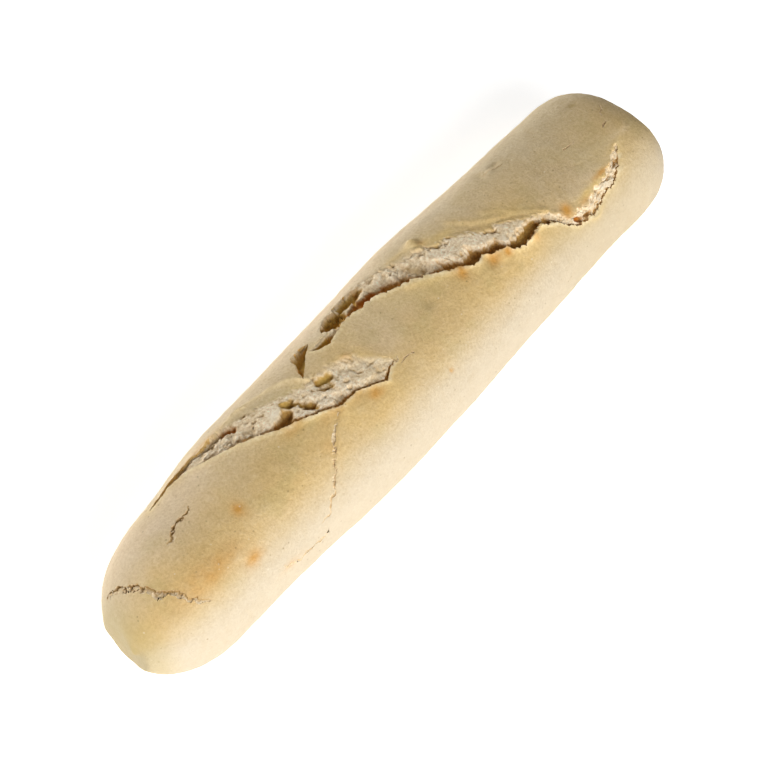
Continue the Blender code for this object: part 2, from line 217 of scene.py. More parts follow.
TOASTED = (  # baked brown: x, turn, share, reach along, reach round
    (-88.1, 14.5, 1.0, 2.3, 2.7), (-96.5, 48.5, 0.75, 4.0, 3.0), (-108, 31, 0.42, 12, 5),
    (-120, 25, 0.2, 10, 8), (-20.3, 25, 0.95, 3.4, 2.2), (-26, 17.5, 0.35, 4, 2),
    (-17.4, -2.5, 0.55, 2.8, 1.6), (37.5, 11.5, 1.2, 2.3, 3.2), (51, 21.5, 0.9, 3.0, 2.6),
    (56.8, 25, 0.95, 1.6, 1.8), (69.4, 32, 0.7, 1.6, 2.0), (87.0, 36, 1.0, 2.4, 3.0),
    (96, 41, 0.6, 3.0, 1.4), (109, 34, 0.8, 4.0, 1.2), (-52, 4, 0.5, 5, 2.0), (-38, 15, 0.4, 5, 2.0),
    (-75, -42, 0.4, 10, 1.6), (40, -20.5, 0.35, 1.8, 1.6), (-48, 30, 0.2, 3, 3),
    (7.9, 53.5, 0.9, 0.7, 0.9), (-84, 80, 0.3, 5, 2),
)
SHADED_DIPS = (  # painted shade in dips, and smudges: x, turn, share, reach along, reach round
    (126.6, -19, 1.0, 1.6, 1.2), (20.1, 10.5, 0.7, 2.4, 2.0), (80, -33, 0.4, 2.2, 2.4),
    (86.5, -29, 0.4, 2.4, 1.2), (-60, 8, 0.3, 14, 6), (30, -30, 0.3, 8, 3), (91, 26, 0.3, 1.6, 7),
    (50, 22.5, 0.5, 2.6, 1.6),
)
SPECKS = (  # cloud values where burnt and floury specks start and are full, then their colour
    (0.60, 0.66, (0.28, 0.17, 0.06, 1)),
    (0.37, 0.31, (0.95, 0.86, 0.68, 1)),
)


def grain(points, size, detail=4, seed=0, smoothness=1.0):
    """Uneven relief from about -1 to 1, with its largest features `size` millimetres across."""
    away = Vector((31.7, -17.3, 11.9)) * seed
    flat = np.asarray(points).reshape(-1, 3) / size
    values = [noise.fractal(Vector(point) + away, smoothness, 2.0, detail) for point in flat.tolist()]
    return np.array(values).reshape(np.shape(points)[:-1])


def reading(rows, k, x):
    """Column k of rows that start with x, read at x."""
    return np.interp(x, [row[0] for row in rows], [row[k] for row in rows])


def mounds(x, turn, rows):
    """The sum of soft mounds, each (x, turn, height, reach along, reach round)."""
    total = np.zeros(np.shape(x))
    for at_x, at_turn, height, along, around in rows:
        sideways = (turn - at_turn) * MM_PER_DEGREE / around
        total += height * np.exp(-(((x - at_x) / along) ** 2) - sideways**2)
    return total


def off_route(x, turn, route):
    """Signed distance in millimetres from each (x, turn) to a route, positive on its front or far side."""
    at = np.stack([np.asarray(x), np.asarray(turn) * MM_PER_DEGREE], -1)
    corners = np.array(route) * [1, MM_PER_DEGREE]
    nearest = np.full(np.shape(x), 1e9)
    for start, end in zip(corners[:-1], corners[1:]):
        run = end - start
        share = np.clip((at - start) @ run / (run @ run), 0, 1)
        away = at - start - share[..., None] * run
        distance = np.linalg.norm(away, axis=-1)
        side = np.where(run[0] * away[..., 1] - run[1] * away[..., 0] < 0, -1, 1)
        nearest = np.where(distance < np.abs(nearest), side * distance, nearest)
    return nearest


def soft_step(value, start, end):
    """0 up to start and 1 from end on, with a smooth rise between."""
    t = np.clip((value - start) / (end - start), 0, 1)
    return t * t * (3 - 2 * t)


def tinted(tone, colour, share):
    """Colours moved towards one colour by that share."""
    return tone + (np.array(colour) - tone) * np.clip(share, 0, 1)[..., None]


def lip_rise(x, turn):
    """How far the crust stands up beside the slashes."""
    total = np.zeros(np.shape(x))
    for rows, lip, back in ((NEAR_RISE, NEAR_LIP, NEAR_BACK), (FAR_RISE, FAR_LIP, FAR_BACK)):
        from_lip = (turn - reading(lip, 1, x)) * MM_PER_DEGREE
        from_back = (reading(back, 1, x) - turn) * MM_PER_DEGREE
        ear = 0.75 * np.exp(-np.abs(from_lip) / EAR_REACH) + 0.4 * np.exp(-((from_lip / EAR_EDGE) ** 2))
        total += reading(rows, 1, x) * ear
        total += reading(rows, 2, x) * np.exp(-((from_back / FOLD_REACH) ** 2))
    return total


def sinking_band(x, turn):
    """How far the stretched skin sinks between its fold and the near slash's crumb."""
    fold, limit, lip = (reading(route, 1, x) for route in (NEAR_FOLD, NEAR_BACK, NEAR_LIP))
    share = np.clip((turn - fold) / np.maximum(limit - fold, 1), 0, 1)
    inside = 1 - soft_step(turn, limit + 1, (limit + lip) / 2 + 1.5)
    return reading(BAND_DROP, 1, x) * share**1.3 * inside


def from_torn_edges(x, turn):
    """Distance in millimetres from each place to the nearest edge of a slash."""
    routes = (NEAR_LIP, FAR_LIP, NEAR_BACK, FAR_BACK, POCKET_BACK)
    return np.min([np.abs(off_route(x, turn, route)) for route in routes], axis=0)


def crust_relief(x, turn):
    """How far the crust stands out of the smooth form."""
    points = smooth_crust(x, turn)
    relief = lip_rise(x, turn) + mounds(x, turn, BUMPS) - sinking_band(x, turn)
    for layer, (height, size, detail) in enumerate(LUMPS):
        relief += height * grain(points, size, detail, seed=layer)
    waxing = 0.75 + 0.7 * grain(points, 7.0, 2, seed=10)
    for height, half_width, route in RIDGES:
        relief += height * waxing * np.exp(-np.abs(off_route(x, turn, route) / half_width) ** 1.4)
    for height, reach, route in OVERLAPS:
        from_route = off_route(x, turn, route)
        relief += height * np.exp(from_route / reach) * (from_route < 0)
    relief += TORN_RIM * np.exp(-from_torn_edges(x, turn) / TORN_RIM_REACH) * grain(points, 1.8, 3, seed=8)
    return relief * soft_step(points[..., 2], 0.2, 5.0)


def crust_tone(x, turn):
    """The crust's baked colour at (x, turn), with painted highlights and painted shade."""
    points = smooth_crust(x, turn)
    tone = np.broadcast_to(np.array(CREAM), (*np.shape(x), 3))
    tan = 1.1 * np.exp(-(((turn - TAN_TURN) / TAN_REACH) ** 2)) + 0.3 * grain(points, 28.0, 3, seed=51)
    tone = tinted(tone, TAN, tan)
    tone = tinted(tone, PALE, mounds(x, turn, FLOURY) * (1 + 0.5 * grain(points, 12.0, 4, seed=53)))
    duller = soft_step(grain(points, 13.0, 4, seed=52), 0.0, 0.7)
    tone = tinted(tone, OLIVE, 0.45 * duller * np.clip(tan, 0, 1))
    # Paler from the front shoulder down: partly less-baked skin, partly a painted highlight where the front
    # lamp falls.
    tone = tinted(tone, FLANK, soft_step(turn, 35, 75))
    # Darker and duller along the far half.
    tone = tinted(tone, FAR_END_TONE, 0.42 * soft_step(x, 45, 110) * (1 - 0.7 * soft_step(x, 118, 143)))
    tone = tinted(tone, OLIVE, 0.5 * soft_step(-x, 133, 143))
    # Painted golden highlight on bumps and folds that catch the light.
    tone = tinted(tone, GOLD, mounds(x, turn, GOLD_HIGHLIGHTS) * (1 + 0.6 * grain(points, 4.0, 4, seed=55)))
    # Painted shade in the dips, and smudges.
    tone = tinted(tone, UMBER, mounds(x, turn, SHADED_DIPS))
    # Painted shade where the stretched skin sinks towards the crumb.
    tone = tinted(tone, OLIVE, 0.55 * sinking_band(x, turn))
    # Painted highlight along the raised fold behind the near slash.
    tone = tinted(tone, RIM, 0.55 * np.exp(-((off_route(x, turn, NEAR_FOLD) / 0.9) ** 2)))
    # Painted golden highlight along the raised ridges.
    for height, half_width, route in RIDGES:
        tone = tinted(tone, GOLD, 0.25 * (height > 0) * np.exp(-((off_route(x, turn, route) / 1.6) ** 2)))
    from_lip = np.minimum(np.abs(off_route(x, turn, NEAR_LIP)), np.abs(off_route(x, turn, FAR_LIP)))
    tone = tinted(tone, GOLD, 0.25 * np.exp(-from_lip / 1.2) + 0.25 * np.exp(-from_lip / 5.0))
    crisp = 0.7 + grain(points, 1.4, 3, seed=56)
    tone = tinted(tone, RIM, 0.8 * np.exp(-(from_lip**2)) * crisp)
    return tinted(tone, TOAST, mounds(x, turn, TOASTED) * (1 + 0.6 * grain(points, 4.0, 4, seed=54)))


def skin(sections, around):
    """Quads that join `sections` rings of `around` points each."""
    steps = [(j, (j + 1) % around) for j in range(around)]
    starts = [i * around for i in range(sections - 1)]
    return [(i + j, i + k, i + around + k, i + around + j) for i in starts for j, k in steps]


def closed_tube(name, rings, tones):
    """A solid through rings of points, drawn together at its ends. A tone is a colour and a crumb share."""
    count, around = rings.shape[:2]
    first, last, end = count * around, count * around + 1, (count - 1) * around
    faces = skin(count, around)
    faces += [(first, (j + 1) % around, j) for j in range(around)]
    faces += [(last, end + j, end + (j + 1) % around) for j in range(around)]
    points, colours = (
        np.concatenate([values.reshape(count * around, -1), values[[0, -1]].mean(axis=1)])
        for values in (rings * MM, tones)
    )
    mesh = bpy.data.meshes.new(name)
    mesh.from_pydata(points.tolist(), [], faces)
    shell = bmesh.new()
    shell.from_mesh(mesh)
    if shell.calc_volume(signed=True) < 0:
        mesh.flip_normals()
    shell.free()
    corner_points = np.empty(len(mesh.loops), np.int32)
    mesh.loops.foreach_get("vertex_index", corner_points)
    tone = mesh.attributes.new("tone", "FLOAT_COLOR", "CORNER")
    tone.data.foreach_set("color", colours[corner_points].astype(np.float32).ravel())
    mesh.materials.append(bread_finish)
    solid = bpy.data.objects.new(name, mesh)
    bpy.context.scene.collection.objects.link(solid)
    return solid


def uncut_loaf():
    """The loaf in its skin, before its slashes are taken out of it."""
    angle = np.linspace(0, math.pi / 2, CAP_RINGS + 1)[1:-1]
    near = NEAR_CAP - LENGTH / 2 - NEAR_CAP * np.sin(angle) ** (2 / NEAR_FULLNESS)
    far = LENGTH / 2 - FAR_CAP + FAR_CAP * np.sin(angle) ** (2 / FAR_FULLNESS)
    start, end = NEAR_CAP - LENGTH / 2, LENGTH / 2 - FAR_CAP
    straight = np.linspace(start, end, round((end - start) / RING_STEP) + 1)
    side = np.linspace(FINE_TURN, SIDE_TURN, SIDE_POINTS + 1)[1:]
    under = np.linspace(SIDE_TURN, 360 - SIDE_TURN, UNDER_POINTS + 2)[1:-1]
    around = np.concatenate([
        -side[::-1], np.linspace(-FINE_TURN, FINE_TURN, FINE_POINTS), side, under - 360 * (under > 180)
    ])
    x, turn = np.meshgrid(np.concatenate([near[::-1], straight, far]), around, indexing="ij")
    crumbly = np.zeros((*x.shape, 1))
    tones = np.concatenate([crust_tone(x, turn), crumbly], axis=-1)
    return closed_tube("loaf_bread", under_crust(x, turn, -crust_relief(x, turn)), tones)


def add(tree, kind, inputs=(), **settings):
    """A node of that kind with its settings, its inputs set to values or linked to sockets."""
    made = tree.nodes.new("ShaderNode" + kind)
    for key, value in settings.items():
        setattr(made, key, value)
    for socket, value in dict(inputs).items():
        if isinstance(value, bpy.types.NodeSocket):
            tree.links.new(value, made.inputs[socket])
        else:
            made.inputs[socket].default_value = value
    return made


def blend(tree, share, first, second, how="MIX"):
    """The colour between two colours at that share."""
    made = add(tree, "Mix", {0: share, 6: first, 7: second}, data_type="RGBA", blend_type=how)
    return made.outputs[2]


def spread(tree, value, low, high, first, second):
    """The value carried from between low and high to between first and second."""
    return add(tree, "MapRange", {0: value, 1: low, 2: high, 3: first, 4: second}).outputs[0]


def clouds(tree, place, scale, detail, roughness):
    """Cloudy noise with `scale` clouds to the metre."""
    sockets = {"Vector": place, "Scale": scale, "Detail": detail, "Roughness": roughness}
    return add(tree, "TexNoise", sockets).outputs[0]


def finish_bread(material):
    """Dry floury skin with fine mottling and burnt specks, and coarse, open, matt crumb where torn."""
    material.use_nodes = True
    tree = material.node_tree
    shader = tree.nodes["Principled BSDF"]
    place = add(tree, "TexCoord").outputs["Object"]
    height = add(tree, "SeparateXYZ", {0: place}).outputs["Z"]
    tone = add(tree, "Attribute", attribute_name="tone")
    colour, crumbly = tone.outputs["Color"], tone.outputs["Alpha"]
    patches = clouds(tree, place, 190.0, 6.0, 0.68)
    fine = clouds(tree, place, 950.0, 4.0, 0.75)
    crumbs = clouds(tree, place, 900.0, 4.0, 0.75)
    skin_share = spread(tree, crumbly, 0.0, 0.6, 1.0, 0.0)
    grainy = spread(tree, height, 0.025, 0.042, 0.35, 1.0)
    mottled = blend(tree, spread(tree, patches, 0.5, 0.7, 0.0, 0.1), colour, (0.92, 0.80, 0.60, 1))
    mottled = blend(tree, spread(tree, patches, 0.5, 0.3, 0.0, 0.1), mottled, (0.60, 0.42, 0.17, 1))
    darker = blend(tree, grainy, mottled, (0.87, 0.82, 0.73, 1), "MULTIPLY")
    lighter = blend(tree, grainy, mottled, (1.12, 1.14, 1.17, 1), "MULTIPLY")
    mottled = blend(tree, spread(tree, fine, 0.3, 0.7, 0.0, 1.0), darker, lighter)
    cells = add(tree, "TexVoronoi", {"Vector": place, "Scale": 430.0}).outputs["Distance"]
    dots = spread(tree, cells, 0.10, 0.2, 1.0, 0.0)
    chosen = clouds(tree, place, 300.0, 1.0, 0.5)
    for low, high, speck_colour in SPECKS:
        here = spread(tree, chosen, low, high, 0.0, 0.5)
        speck = add(tree, "Math", {0: dots, 1: here}, operation="MULTIPLY").outputs[0]
        mottled = blend(tree, speck, mottled, speck_colour)
    # Painted shade and painted highlight on the torn crumb's granules, mixed by the noise that also raises
    # them.
    crumb_in_painted_shade = blend(tree, 1.0, colour, (0.70, 0.57, 0.39, 1), "MULTIPLY")
    crumb_in_painted_light = blend(tree, 1.0, colour, (1.20, 1.22, 1.25, 1), "MULTIPLY")
    granular = blend(tree, spread(tree, crumbs, 0.30, 0.66, 0.0, 1.0), crumb_in_painted_shade, crumb_in_painted_light)
    tree.links.new(blend(tree, skin_share, granular, mottled), shader.inputs["Base Color"])
    shader.inputs["Roughness"].default_value = 0.78
    shader.inputs["Specular IOR Level"].default_value = 0.12
    grain_height = add(tree, "Math", {0: patches, 1: fine}, operation="ADD").outputs[0]
    surface = blend(tree, skin_share, crumbs, grain_height)
    depth = spread(tree, crumbly, 0.0, 0.8, 0.00045, 0.0008)
    bump = add(tree, "Bump", {"Strength": 0.7, "Distance": depth, "Height": surface}).outputs[0]
    tree.links.new(bump, shader.inputs["Normal"])


bread_finish = bpy.data.materials.new("baked_bread")
finish_bread(bread_finish)
loaf = uncut_loaf()

# --- The open slashes ---------------------------------------------------------------------------------
# Inside a slash the skin gives way to torn crumb, with burst bubbles as open hollows. The crumb breaks off
# along a ragged edge in front of a dark gap, and the front lip of skin hangs over that gap.
CUT_STEP = 0.42
FLOOR_POINTS, UNDERCUT_POINTS, BACK_POINTS, COVER_POINTS = 48, 8, 4, 3
CLEAR_OVER = 4.5
LIP_THICKNESS = 0.7
SKIN_SHAVED = 0.05  # where skin passes into crumb with no edge, the cut starts this far under the skin
GAP_SLOPE = 0.38  # share of the gap's width over which the crumb falls into it
NARROWEST_TURN, NARROWEST_CRUMB = 0.6, 0.3  # of a slash, in degrees, and of the crumb behind its gap
UNDERCUT_REACH, ROOF_LIMIT = 0.45, 0.6  # shares of a gap's depth: its reach in under the lip, its roof
# A floor's rows are x and then these: how far behind the back edge the cut starts, depth inside the back
# edge, width of the trough there, depth of the crumb where it breaks off, height of its hump, width and
# depth of the gap beyond, how far the slash runs in under the back edge, and how rough the crumb is.
FloorShape = namedtuple(
    "FloorShape", "margin back_depth trough crumb_depth hump gap_width gap_depth back_reach rough"
)
NEAR_FLOOR = (
    (-104, 0, 0.2, 1.5, 0.2, 0, 0.2, 0.4, 0, 0), (-97, 0, 0.6, 1.2, 0.4, 0, 0.4, 0.7, 0.05, 0),
    (-91, 0, 0.8, 1.4, 0.6, 0, 0.6, 1.0, 0.05, 0.1), (-85, 0, 0.8, 1.6, 0.7, 0.1, 1.0, 1.4, 0.05, 0.5),
    (-78, 0, 0.8, 1.6, 0.8, 0.2, 1.4, 2.0, 0.05, 0.9), (-72, 0, 0.8, 1.6, 0.9, 0.3, 1.6, 2.4, 0.05, 1.0),
    (-68, 0.5, 0.8, 2.0, 1.1, 0.3, 2.6, 3.2, 0.05, 1.35), (-64, 2.2, 0.5, 3, 1.2, 0.2, 2.8, 3.2, 0, 1.35),
    (-61, 3, 0.4, 4, 1.2, 0.4, 1.4, 2.8, 0, 1.35), (-56.5, 3, 0.4, 5, 1.3, 0.8, 1.6, 3.0, 0, 1.35),
    (-54, 3, 0.4, 5, 1.4, 1.2, 3.6, 4.0, 0, 1.35), (-51.2, 3, 0.5, 6, 1.4, 1.4, 4.2, 4.2, 0, 1.35),
    (-49.5, 3, 0.5, 6, 1.4, 1.0, 2.4, 3.0, 0, 1.35), (-47, 3, 0.5, 5, 1.4, 0.8, 1.3, 2.4, 0, 1.35),
    (-42, 3, 0.5, 5, 1.5, 0.6, 1.4, 2.6, 0, 1.35), (-37, 3, 0.5, 4, 1.3, 0.5, 1.8, 2.8, 0, 1.35),
    (-32, 3.5, 0.4, 3, 1.0, 0.4, 1.8, 2.6, 0, 1.2), (-28, 4, 0.3, 3, 0.7, 0.3, 1.6, 2.2, 0, 1.0),
    (-20, 4.5, 0.2, 3, 0.5, 0.2, 1.4, 1.8, 0, 0.9), (-13, 5.5, 0.2, 3, 0.4, 0.2, 1.3, 1.6, 0, 0.8),
    (-9, 5, 0.2, 2, 0.3, 0, 0.7, 0.8, 0, 0.6), (-6, 2, 0.1, 1, 0.2, 0, 0.2, 0.3, 0, 0.4),
)
FAR_FLOOR = (
    (-20.5, 0, 0.3, 1, 0.4, 0, 0.3, 0.6, 0, 0.1), (-18.5, 0.3, 0.4, 1, 0.5, 0, 3.4, 2.6, 0, 0.1),
    (-14, 0.3, 0.4, 1, 0.5, 0, 4.8, 3.2, 0, 0.1), (-11.6, 0.3, 0.4, 1.5, 0.6, 0.3, 3.4, 3.0, 0, 0.3),
    (-10, 0.3, 0.6, 2, 0.8, 0.3, 1.0, 2.0, 0, 0.5), (-5, 0.5, 0.9, 3, 1.1, 0.2, 0.6, 1.3, 0.4, 0.5),
    (0, 0.5, 0.9, 3, 1.2, 0.2, 1.2, 2.4, 0.4, 0.6), (2.5, 0.5, 0.9, 3, 1.3, 0.2, 5.6, 3.4, 0.4, 0.7),
    (6, 0.5, 0.8, 3, 1.0, 0.3, 7.4, 3.8, 0.3, 0.8), (13, 1, 0.8, 3, 1.3, 0.7, 7.4, 3.8, 0.3, 1.0),
    (18, 1.5, 0.7, 3, 1.6, 0.9, 6.4, 3.8, 0.2, 1.3), (24, 2, 0.6, 3, 1.7, 0.9, 5.0, 3.8, 0, 1.3),
    (29, 2.5, 0.5, 3, 1.8, 0.8, 2.0, 3.4, 0, 1.2), (33, 2.5, 0.6, 3, 1.7, 1.0, 2.6, 3.2, 0, 1.3),
    (37, 2.5, 0.8, 3, 1.5, 1.7, 4.4, 3.8, 0, 1.4), (41, 2.5, 0.8, 3, 1.4, 2.0, 4.9, 4.0, 0, 1.4),
    (45, 2.5, 0.8, 3, 1.3, 2.0, 5.1, 4.2, 0, 1.4), (48, 2.5, 0.7, 3, 1.2, 2.0, 5.6, 4.2, 0, 1.4),
    (51, 2.5, 0.7, 3, 1.2, 2.0, 5.1, 4.2, 0, 1.4), (54, 2.5, 0.6, 3, 1.1, 1.8, 5.0, 4.2, 0, 1.3),
    (57, 2.5, 0.5, 3, 1.0, 1.6, 4.2, 4.0, 0, 1.3), (63, 2.5, 0.4, 3, 0.8, 1.3, 4.6, 4.2, 0, 1.3),
    (66, 2.5, 0.4, 3, 0.7, 1.1, 5.0, 2.9, 0, 1.3), (70, 2, 0.3, 3, 0.6, 0.8, 4.8, 2.8, 0, 1.3),
    (74, 2, 0.3, 3, 0.5, 0.7, 4.4, 2.8, 0, 1.3), (78, 1.5, 0.2, 2, 0.5, 0.4, 3.4, 2.5, 0, 1.3),
    (81, 1, 0.3, 1.5, 0.6, 0.2, 1.4, 2.2, 0, 1.3), (86, 0.6, 0.3, 1.5, 0.6, 0.2, 0.9, 1.3, 0, 1.3),
    (97, 0.6, 0.3, 1.5, 0.5, 0.1, 0.6, 1.0, 0, 1.3), (107, 0.6, 0.3, 1.5, 0.5, 0.1, 0.6, 1.0, 0, 1.3),
    (116, 0.8, 0.2, 1.5, 0.5, 0.1, 0.6, 1.0, 0, 1.3), (120, 1.0, 0.1, 1, 0.3, 0, 0.3, 0.6, 0, 1.0),
    (123, 1.0, 0, 1, 0.1, 0, 0.1, 0.2, 0, 0.5),
)
POCKET_FLOOR = (
    (-33, 0, 0.2, 1, 0.3, 0, 1.0, 0.4, 0, 0.3), (-31, 0, 1.4, 4, 2.4, 0, 9, 2.6, 0, 0.3),
    (-27, 0, 2.4, 6, 3.6, 0, 9, 4.0, 0.2, 0.25), (-22, 0, 2.2, 6, 3.4, 0, 9, 3.8, 0.3, 0.2),
    (-19.5, 0, 1.2, 3, 1.8, 0, 9, 2.2, 0.2, 0.2), (-18.0, 0, 0.2, 1, 0.3, 0, 1, 0.4, 0, 0.2),
)
# Each row: x, how ragged the back edge is, how ragged the lip is.
NEAR_TEARS = ((-104, 0.2, 0.1), (-80, 0.5, 0.25), (-60, 0.8, 0.3), (-30, 0.8, 0.5), (-6, 0.6, 0.6))
FAR_TEARS = (
    (-20.5, 0.4, 0.4), (8, 0.8, 0.8), (25, 1.3, 0.8), (38, 1.5, 1.0), (60, 1.6, 1.2), (82, 1.2, 1.3),
    (100, 1.2, 1.8), (115, 1.0, 1.6), (123, 0.8, 0.8),
)
POCKET_TEARS = ((-33, 1.6, 0.3), (-27.5, 2.4, 0.4), (-25, 1.2, 0.4), (-18.0, 0.3, 0.4))
HOLLOWS = (  # burst bubbles: depth, half width, then the route along each
    (3.4, 1.7, ((-66, -32.5), (-63, -29.5))), (3.4, 1.9, ((-52.2, -1), (-50, -2.5), (-47.8, -4.5))),
    (2.4, 1.9, ((-45.6, -11), (-43.4, -8.5))), (1.4, 0.8, ((-42.4, -6.5), (-41.4, -5))),
    (3.6, 1.7, ((-41, -0.2), (-39.6, 2.0))), (1.7, 1.6, ((-30.5, -4.5), (-28, -3.7), (-26.2, -2.7))),
    (0.9, 2.6, ((28.2, -14), (30.4, -7))), (1.2, 0.9, ((-32, 0), (-28.5, 1.5))),
    (1.0, 0.7, ((-24.8, 5.4), (-23.6, 6.6))), (1.0, 0.7, ((-18.6, 7.4), (-17.4, 8.6))),
    (3.2, 3.6, ((-7.2, -33.5), (-2.5, -34))), (2.6, 2.4, ((3, -38), (10.5, -36.5))),
    (2.0, 1.2, ((88.3, 47), (90.3, 50.5))), (1.6, 0.9, ((92.5, 51.5), (96, 52.5))),
    (1.0, 0.6, ((101.3, 47), (103.5, 45.5))), (1.2, 0.8, ((114.5, 38), (117.5, 36))),
    (0.9, 0.6, ((109, 42), (111, 41.5))), (1.0, 0.6, ((36.5, -3.5), (38, 1))),
    (1.1, 0.8, ((47.3, -8.8), (48.3, -8))), (0.9, 0.7, ((59.5, 7), (60.5, 8))),
)
WELTS = (  # crumb and skin that stand out: height, half width, then the route along each
    (2.4, 1.9, ((-48.6, 2.6), (-45, 3.2), (-41.6, 5.2))),
    (2.2, 2.5, ((-53.8, -9), (-50, -11.5), (-46.5, -15))), (1.2, 1.2, ((-45, -3.2), (-42.6, -2.4))),
    (1.5, 1.4, ((-38.6, 5.6), (-36, 7.4), (-34, 8.6))), (1.1, 1.1, ((-37, -2.4), (-34, 1), (-31, 3.8))),
    (0.9, 1.8, ((-28, 3.6), (-22, 7.6), (-19, 11), (-16, 13.4))),
    (0.9, 0.7, ((48.5, -7), (51.2, -3), (55, 1))),
    (0.8, 0.5, ((40, -18), (42.5, -15), (44.2, -11), (44.7, -7.5))),
    (0.6, 0.8, ((25.2, -16), (26.4, -10), (28.8, -4))),
    (0.8, 1.4, ((-21, -31), (-15, -33), (-11.4, -31), (-9, -25.5))),
    (0.9, 2.0, ((36, -9), (40, -4), (44, 2))), (0.9, 1.8, ((50, 4), (54, 8), (58, 13))),
    (0.5, 0.8, ((62, 12), (68, 16), (73, 19))), (0.5, 1.0, ((98, 48), (103, 45), (109, 43.5))),
)
SMOOTHED = (  # crumb that is smooth: x, turn, share, reach along, reach round
    (29.6, -9.5, 1.0, 2.4, 4.2), (-28.4, -3.7, 1.0, 3.6, 1.4), (-44.4, -9.8, 1.0, 2.4, 2.0),
    (-52, -7.5, 0.8, 3.6, 2.6), (-45.2, 3.4, 0.65, 3.6, 1.8), (-40.2, 0.8, 0.9, 1.8, 1.6),
    (-50.5, -2, 0.8, 3.4, 2.0), (-17, 12, 0.4, 5, 3), (-50, -11.5, 0.5, 5, 3), (-4.5, -34, 0.9, 6, 4),
    (6.5, -37.5, 1.0, 6, 3.0), (9, -25, 0.8, 8, 3), (51.5, -3.2, 0.8, 3.4, 0.9),
)
# The crumb's tip tone is a painted highlight and its pit tone painted shade.
CRUMB_HIGHLIGHT, CRUMB_BODY, CRUMB_PIT_SHADE = (1.0, 0.88, 0.68), (0.93, 0.78, 0.55), (0.64, 0.45, 0.20)
# Warm painted shade for the caves and the gap, partly the damp crumb's own browner colour; the orange and
# olive cave tones are painted shade.
CAVE_BROWN_AND_SHADE, ORANGE_CAVE_SHADE, OLIVE_CAVE_SHADE = (0.60, 0.36, 0.095), (0.55, 0.19, 0.02), (0.60, 0.40, 0.10)
INNER_SKIN, BACK_WALL = (0.88, 0.74, 0.50), (0.80, 0.56, 0.22)
LIT_MOUNDS = (  # painted highlight on the crumb's mounds: x, turn, share, reach along, reach round
    (-51, -10.5, 1.0, 5, 3.2), (-45.5, 3, 1.0, 4.5, 1.8), (-43.5, -2.5, 0.9, 2, 1.5), (-37, 6, 0.9, 4, 2),
    (-47, -15, 0.8, 4, 2), (40, -4, 0.9, 8, 3), (53, 7, 0.9, 9, 3.5), (-35, 0, 0.7, 5, 3),
    (22, -17, 0.5, 5, 3), (104, 45, 0.6, 14, 3), (-25, 4, 0.8, 7, 4), (-72, -27, 0.7, 8, 3),
)
ORANGE_SHADED_CAVES = (  # orange painted shade and glow in caves: x, turn, share, reach along, reach round
    (8.5, -24, 1.0, 9, 4), (-64.5, -31, 0.7, 4, 3), (-4, -31, 0.2, 5, 3), (89.5, 48.5, 0.9, 1.6, 2),
)
OLIVE_SHADED_CAVES = (  # dull olive painted shade in caves: x, turn, share, reach along, reach round
    (-28, -3.5, 1.0, 4, 2.5), (-15, -24, 1.0, 7, 5), (-26, -30, 1.0, 9, 8), (-4, -34.5, 1.0, 7, 5),
    (6.5, -38, 1.0, 8, 3.4), (-44.5, -10, 0.9, 3, 3), (-40.4, 0.8, 0.7, 3, 3), (70, 26, 0.5, 10, 4),
)


def torn(x, size, seed):
    """Unevenness along a torn edge, from about -1 to 1."""
    return grain(np.stack([x, np.zeros_like(x), np.zeros_like(x)], -1), size, 4, seed, 0.7)


def crumb_roughness(points):
    """Torn crumb, deeper where positive: lumps, crags, pits and granules."""
    lumps = 0.8 * grain(points, 3.2, 2, seed=5)
    crags = 0.3 * grain(points, 1.6, 3, seed=7, smoothness=0.6)
    pits = 0.8 * soft_step(grain(points, 2.4, 3, seed=4), 0.3, 0.75)
    return lumps + crags + pits + 0.13 * grain(points, 0.7, 3, seed=6, smoothness=0.4)


def burst_bubbles(x, turn):
    """Depth of the open hollows, steep at their rims."""
    uneven = 0.45 * grain(smooth_crust(x, turn), 1.8, 3, seed=9)
    total = np.zeros(np.shape(x))
    for depth, half_width, route in HOLLOWS:
        reach = np.abs(off_route(x, turn, route)) / half_width
        total = np.maximum(total, depth * (1 - soft_step(reach + uneven, 0.2, 1.3)))
    return total


def crumb_tone(x, turn, roughness, sunk, fall, rough):
    """Torn crumb: painted highlight at its tips, brown painted shade in pits, golden where it falls or is
    sunk.
    """
    tone = np.broadcast_to(np.array(CRUMB_BODY), (*np.shape(x), 3))
    # Painted highlight on the crumb's tips and painted shade in its pits.
    tone = tinted(tone, CRUMB_HIGHLIGHT, soft_step(-roughness, -0.1, 0.6))
    tone = tinted(tone, CRUMB_PIT_SHADE, 0.85 * soft_step(roughness, 0.25, 1.0))
    tone = tinted(tone, INNER_SKIN, 1 - rough)
    # Painted highlight on the crumb's lit mounds.
    tone = tinted(tone, CRUMB_HIGHLIGHT, 0.9 * mounds(x, turn, LIT_MOUNDS) * (1 - soft_step(roughness, 0.2, 0.9)))
    # Warm painted shade where the crumb falls into the gap or is sunk, partly its own browner colour.
    tone = tinted(tone, CAVE_BROWN_AND_SHADE, 0.9 * np.maximum(soft_step(sunk, 0.3, 1.5), soft_step(fall, 0.05, 0.7)))
    within = np.maximum(soft_step(sunk, 0.1, 1.0), soft_step(fall, 0.05, 0.35))
    # Dull olive painted shade in some caves.
    tone = tinted(tone, OLIVE_CAVE_SHADE, 0.95 * mounds(x, turn, OLIVE_SHADED_CAVES) * within)
    # Orange painted shade in some caves, for light glowing through the crumb.
    return tinted(tone, ORANGE_CAVE_SHADE, mounds(x, turn, ORANGE_SHADED_CAVES) * within)


